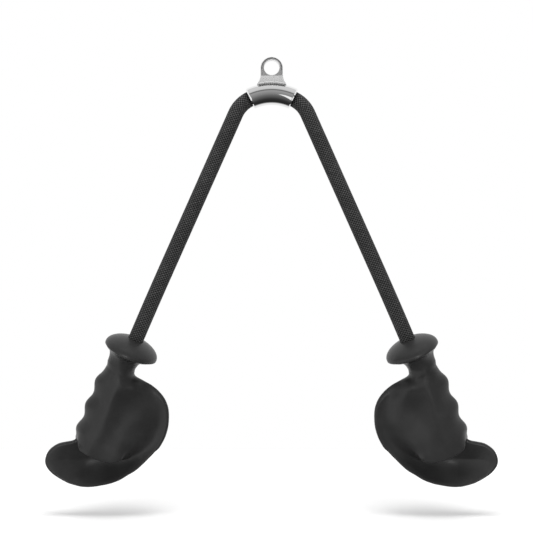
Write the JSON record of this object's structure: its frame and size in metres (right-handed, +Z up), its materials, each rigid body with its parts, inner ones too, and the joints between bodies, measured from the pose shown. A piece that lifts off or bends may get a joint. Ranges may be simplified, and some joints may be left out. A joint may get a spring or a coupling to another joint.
{
  "type": "triceps rope attachment",
  "caption": "Cable-machine rope attachment: a steel eye welded on a bent sleeve, a braided rope through it and a swivelling moulded grip with a dished palm rest on each end.",
  "frame": {"origin": "centre of the eye's hole, from which the attachment hangs on a hook or carabiner", "axes": "+Z up, +X to the right seen from the front, -Y towards the front; the eye's hole runs along Y"},
  "size_m": [0.503, 0.075, 0.47],
  "materials": {
    "steel": "polished, lightly clouded",
    "chrome": "bright plated",
    "rope": "tight black braid",
    "rubber": "matt moulded",
    "nylon": "matt",
    "washer_steel": "plain",
    "ferrule_alloy": "crimped"
  },
  "bodies": {
    "hanger": {"hanger_eye": "steel", "hanger_sleeve": "chrome", "weld_bead_front": "steel", "weld_bead_back": "steel", "rope_in_sleeve": "rope"},
    "bend_left": {"rope_bend_left": "rope"},
    "leg_left": {"rope_swing_left": "rope", "rope_leg_left": "rope", "rope_end_left": "rope", "ferrule_left": "ferrule_alloy"},
    "grip_left": {"handle_left": "rubber", "bore_sleeve_left": "nylon", "washer_left": "washer_steel", "toe_plug_left": "rubber"},
    "bend_right": {"rope_bend_right": "rope"},
    "leg_right": {"rope_swing_right": "rope", "rope_leg_right": "rope", "rope_end_right": "rope", "ferrule_right": "ferrule_alloy"},
    "grip_right": {"handle_right": "rubber", "bore_sleeve_right": "nylon", "washer_right": "washer_steel", "toe_plug_right": "rubber"}
  },
  "joints": [
    {"name": "spread_left", "type": "hinge", "parent": "hanger", "child": "bend_left", "pos_m": [-0.03264, 0, -0.04014], "axis": [0, 1, 0], "range_deg": [-15, 40], "stiffness_Nm_per_rad": 0.5605, "springref_deg": 39.99, "deforming": ["rope_bend_left"]},
    {"name": "swing_left", "type": "hinge", "parent": "bend_left", "child": "leg_left", "pos_m": [-0.04703, 0, -0.06767], "axis": [-0.9135, 0, 0.4067], "range_deg": [-40, 40], "stiffness_Nm_per_rad": 0.6, "springref_deg": -6.27, "deforming": ["rope_swing_left"]},
    {"name": "swivel_left", "type": "hinge", "parent": "leg_left", "child": "grip_left", "pos_m": [-0.14726, 0.00835, -0.29278], "axis": [-0.3979, 0.2079, -0.8936], "continuous": true},
    {"name": "spread_right", "type": "hinge", "parent": "hanger", "child": "bend_right", "pos_m": [0.03264, 0, -0.04014], "axis": [0, -1, 0], "range_deg": [-15, 40], "stiffness_Nm_per_rad": 0.5605, "springref_deg": 39.99, "deforming": ["rope_bend_right"]},
    {"name": "swing_right", "type": "hinge", "parent": "bend_right", "child": "leg_right", "pos_m": [0.04703, 0, -0.06767], "axis": [-0.9135, 0, -0.4067], "range_deg": [-40, 40], "stiffness_Nm_per_rad": 0.6, "springref_deg": -6.27, "deforming": ["rope_swing_right"]},
    {"name": "swivel_right", "type": "hinge", "parent": "leg_right", "child": "grip_right", "pos_m": [0.14726, 0.00835, -0.29278], "axis": [0.3979, 0.2079, -0.8936], "continuous": true}
  ]
}
